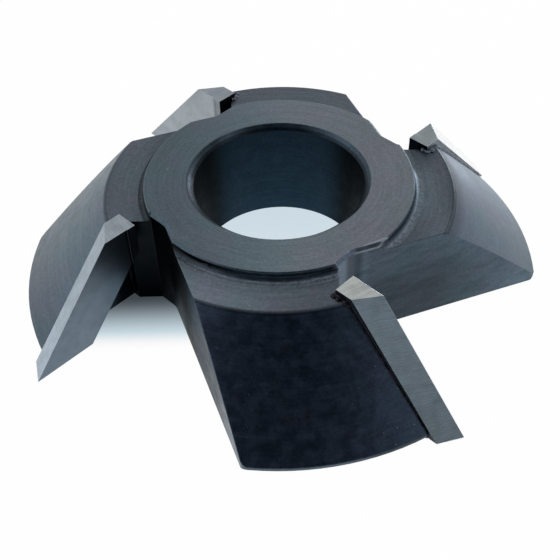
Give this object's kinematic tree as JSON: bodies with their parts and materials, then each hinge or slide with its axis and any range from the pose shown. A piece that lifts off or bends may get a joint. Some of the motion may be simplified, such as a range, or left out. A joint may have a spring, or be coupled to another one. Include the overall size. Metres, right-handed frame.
{
  "type": "bevel cutter head",
  "caption": "Bevel cutter head for a spindle moulder: blackened steel body with a through bore, swept wings, open gullets and brazed carbide tips.",
  "frame": {"origin": "bore axis on the large end face, which rests on the table", "axes": "+Z along the bore axis from the large end to the hub ring; front wing's rake face runs out along +X and -Y at 45 degrees"},
  "size_m": [0.094, 0.094, 0.02],
  "materials": {
    "blackened_steel": "matt black oxide over turned and milled steel",
    "carbide": "ground grey tungsten carbide",
    "braze": "dull darkened braze"
  },
  "bodies": {
    "root": {"cutter_body": "blackened_steel", "carbide_tip_1": "carbide", "carbide_tip_2": "carbide", "carbide_tip_3": "carbide", "carbide_tip_4": "carbide", "braze_seam_1": "braze", "braze_seam_2": "braze", "braze_seam_3": "braze", "braze_seam_4": "braze"}
  },
  "joints": []
}
